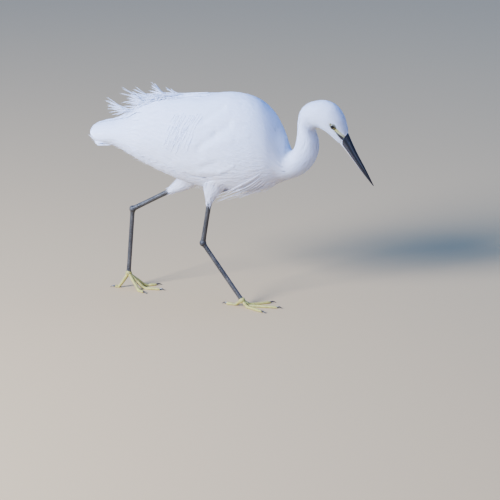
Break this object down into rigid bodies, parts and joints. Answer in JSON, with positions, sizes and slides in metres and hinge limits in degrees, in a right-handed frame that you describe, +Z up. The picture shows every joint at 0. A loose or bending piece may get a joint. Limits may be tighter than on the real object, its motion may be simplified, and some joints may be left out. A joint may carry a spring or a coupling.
{
  "type": "little egret model",
  "caption": "Life-size still model of a white wading bird, walking with its neck bent forward and its long bill pointing down.",
  "frame": {"origin": "on the floor, under the middle of the bird's box", "axes": "+X the way the bird walks and its bill points, +Y its left side, +Z up"},
  "size_m": [0.427, 0.1036, 0.3149],
  "materials": {
    "plumage": "soft white feathers",
    "dark_horn": "slate black horn with a low sheen",
    "pale_horn": "pale horn that darkens to the tip",
    "eye": "wet and clear, pale yellow iris, black pupil",
    "leg_skin": "black scaled skin",
    "toe_skin": "greenish yellow scaled skin",
    "claw": "near-black horn with a low sheen"
  },
  "bodies": {
    "root": {"torso": "plumage", "mantle": "plumage", "wing_left": "plumage", "wing_right": "plumage", "tail": "plumage", "neck_base": "plumage", "neck_middle": "plumage", "neck_top": "plumage", "head": "plumage", "thigh_left": "plumage", "thigh_right": "plumage", "bill_upper": "dark_horn", "bill_lower": "pale_horn", "eye_left": "eye", "eye_right": "eye", "tibia_left": "leg_skin", "tibia_right": "leg_skin", "tarsus_left": "leg_skin", "tarsus_right": "leg_skin", "foot_left": "toe_skin", "foot_right": "toe_skin", "toe_middle_left": "toe_skin", "claw_middle_left": "claw", "toe_inner_left": "toe_skin", "claw_inner_left": "claw", "toe_outer_left": "toe_skin", "claw_outer_left": "claw", "toe_hind_left": "toe_skin", "claw_hind_left": "claw", "toe_middle_right": "toe_skin", "claw_middle_right": "claw", "toe_inner_right": "toe_skin", "claw_inner_right": "claw", "toe_outer_right": "toe_skin", "claw_outer_right": "claw", "toe_hind_right": "toe_skin", "claw_hind_right": "claw"}
  },
  "joints": []
}
